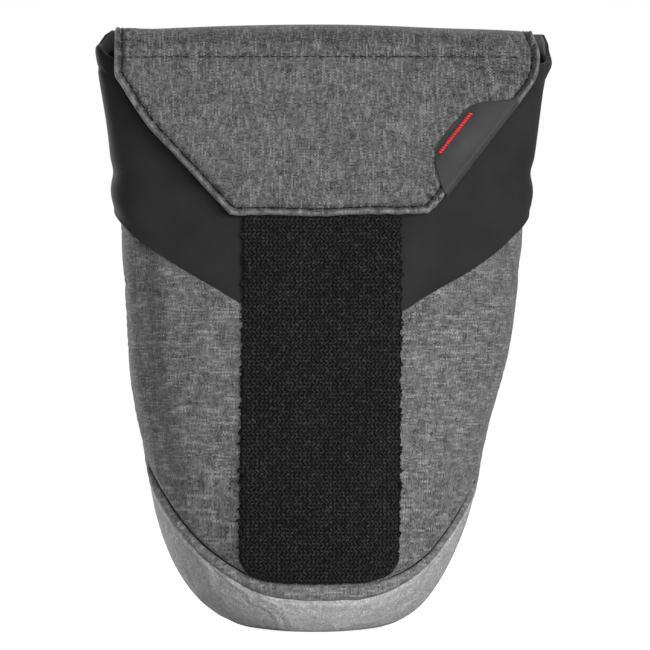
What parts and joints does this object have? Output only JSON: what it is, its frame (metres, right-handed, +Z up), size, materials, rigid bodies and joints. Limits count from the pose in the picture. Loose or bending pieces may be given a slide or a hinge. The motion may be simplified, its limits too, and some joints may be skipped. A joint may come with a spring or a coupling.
{
  "type": "camera pouch",
  "caption": "Tapered padded camera or lens pouch with a stretch collar, a hook-and-loop flap and two belt loops on its stiffened back.",
  "frame": {"origin": "middle of the flat underside, on the surface that the pouch stands on", "axes": "+Z up, the flap and loop strip face -Y, the belt loops face +Y"},
  "size_m": [0.1454, 0.0935, 0.1913],
  "materials": {
    "heather": "grey melange woven polyester",
    "pale_heather": "light grey melange woven polyester",
    "stretch": "black stretch knit, matt",
    "loop_tape": "black loop tape, fuzzy",
    "hook_tape": "black hook tape",
    "foam": "closed-cell foam",
    "board": "stiff plastic sheet",
    "lining": "dark grey brushed lining",
    "coated": "dark grey coated fabric, smooth",
    "webbing": "black ribbed webbing",
    "red_thread": "red sewing thread",
    "black_thread": "black sewing thread and binding"
  },
  "bodies": {
    "shell": {"front_shell": "heather", "front_foam": "foam", "front_lining": "lining", "back_shell": "heather", "back_board": "board", "back_foam": "foam", "back_lining": "lining", "base_cup": "pale_heather", "base_foam": "foam", "base_lining": "lining", "base_board": "board", "seam_roll": "heather", "collar_sleeve": "stretch", "back_upper": "heather", "rim_binding": "black_thread", "loop_strip_lower": "loop_tape", "loop_strip_upper": "loop_tape", "back_patch": "coated", "belt_loop_left": "webbing", "loop_tack_lower_left": "black_thread", "loop_tack_upper_left": "black_thread", "belt_loop_right": "webbing", "loop_tack_lower_right": "black_thread", "loop_tack_upper_right": "black_thread"},
    "rim": {"rim_hem": "stretch", "flap_anchor": "heather"},
    "flap_top": {"flap_top_outer": "heather", "flap_top_lining": "stretch"},
    "flap": {"flap_outer": "heather", "flap_lining": "stretch", "flap_board": "board", "hook_patch": "hook_tape", "corner_tab": "coated", "tab_bar_tack": "red_thread"}
  },
  "joints": [
    {"name": "collar_slide", "type": "slide", "parent": "shell", "child": "rim", "axis": [0, 0.2588, 0.9659], "range_m": [-0.04, 0], "deforming": ["collar_sleeve", "back_upper", "loop_strip_upper"]},
    {"name": "flap_lift", "type": "hinge", "parent": "rim", "child": "flap_top", "pos_m": [0, 0.0311, 0.189], "axis": [-1, 0, 0], "range_deg": [0, 110]},
    {"name": "flap_fold", "type": "hinge", "parent": "flap_top", "child": "flap", "pos_m": [0, -0.0122, 0.18085], "axis": [-1, 0, 0], "range_deg": [0, 110]}
  ],
  "couplings": [
    {"joint": "flap_fold", "follows": "flap_lift", "ratio": 1}
  ]
}
